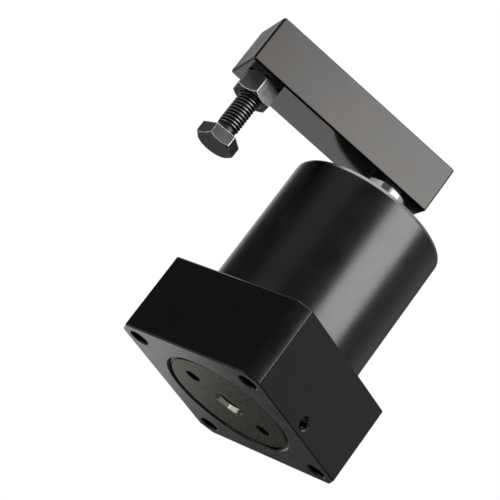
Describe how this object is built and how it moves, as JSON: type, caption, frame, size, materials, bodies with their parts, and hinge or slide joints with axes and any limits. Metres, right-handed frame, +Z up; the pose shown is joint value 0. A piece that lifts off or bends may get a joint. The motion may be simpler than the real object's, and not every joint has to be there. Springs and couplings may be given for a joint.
{
  "type": "swing clamp cylinder",
  "caption": "Swing clamp cylinder with a square bottom flange, a round barrel and a bar arm that carries an adjustable contact bolt; the arm swings aside as the rod lifts.",
  "frame": {"origin": "centre of the flange's underside, on the piston rod's axis", "axes": "+Z up the rod's axis from flange to arm; +X out of the flange face with the lower port; +Y completes a right-handed frame"},
  "size_m": [0.0764, 0.0933, 0.112],
  "materials": {
    "body_black_steel": "black oxide, satin",
    "cap_black_steel": "black oxide, turned face",
    "arm_steel": "ground, lightly phosphated",
    "fastener_black_steel": "black oxide",
    "hard_chrome": "hard chrome, ground",
    "ground_steel": "ground",
    "ball_steel": "polished",
    "bronze": "turned",
    "nitrile_rubber": "matte",
    "polyurethane": "satin",
    "bronze_filled_ptfe": "matte",
    "guide_resin": "matte"
  },
  "bodies": {
    "housing": {"Cylinder_Body": "body_black_steel", "End_Cap": "cap_black_steel", "End_Cap_ORing": "nitrile_rubber", "Guide_Pin": "ground_steel", "Guide_Pin_ORing": "nitrile_rubber", "Guide_Pin_Dowel": "ground_steel", "Rod_Bushing": "bronze", "Rod_Seal": "polyurethane", "Rod_Wiper": "polyurethane", "Channel_Plug": "ground_steel"},
    "piston_rings": {"Piston_Slide_Ring": "bronze_filled_ptfe", "Piston_Seal_Energiser": "nitrile_rubber", "Piston_Wear_Ring": "guide_resin"},
    "rod_and_arm": {"Piston_Rod": "hard_chrome", "Guide_Balls": "ball_steel", "Ball_Set_Screws": "fastener_black_steel", "Clamp_Arm": "arm_steel", "Arm_Screw": "fastener_black_steel", "Arm_Washer": "fastener_black_steel", "Contact_Bolt": "fastener_black_steel", "Lock_Nut": "fastener_black_steel"}
  },
  "joints": [
    {"name": "rod_lift", "type": "slide", "parent": "housing", "child": "piston_rings", "axis": [0, 0, 1], "range_m": [0, 0.013]},
    {"name": "arm_swing", "type": "hinge", "parent": "piston_rings", "child": "rod_and_arm", "pos_m": [0, 0, 0.093], "axis": [0, 0, 1], "range_deg": [0, 90]}
  ],
  "couplings": [
    {"joint": "arm_swing", "follows": "rod_lift", "rad_per_m": 120.83}
  ]
}
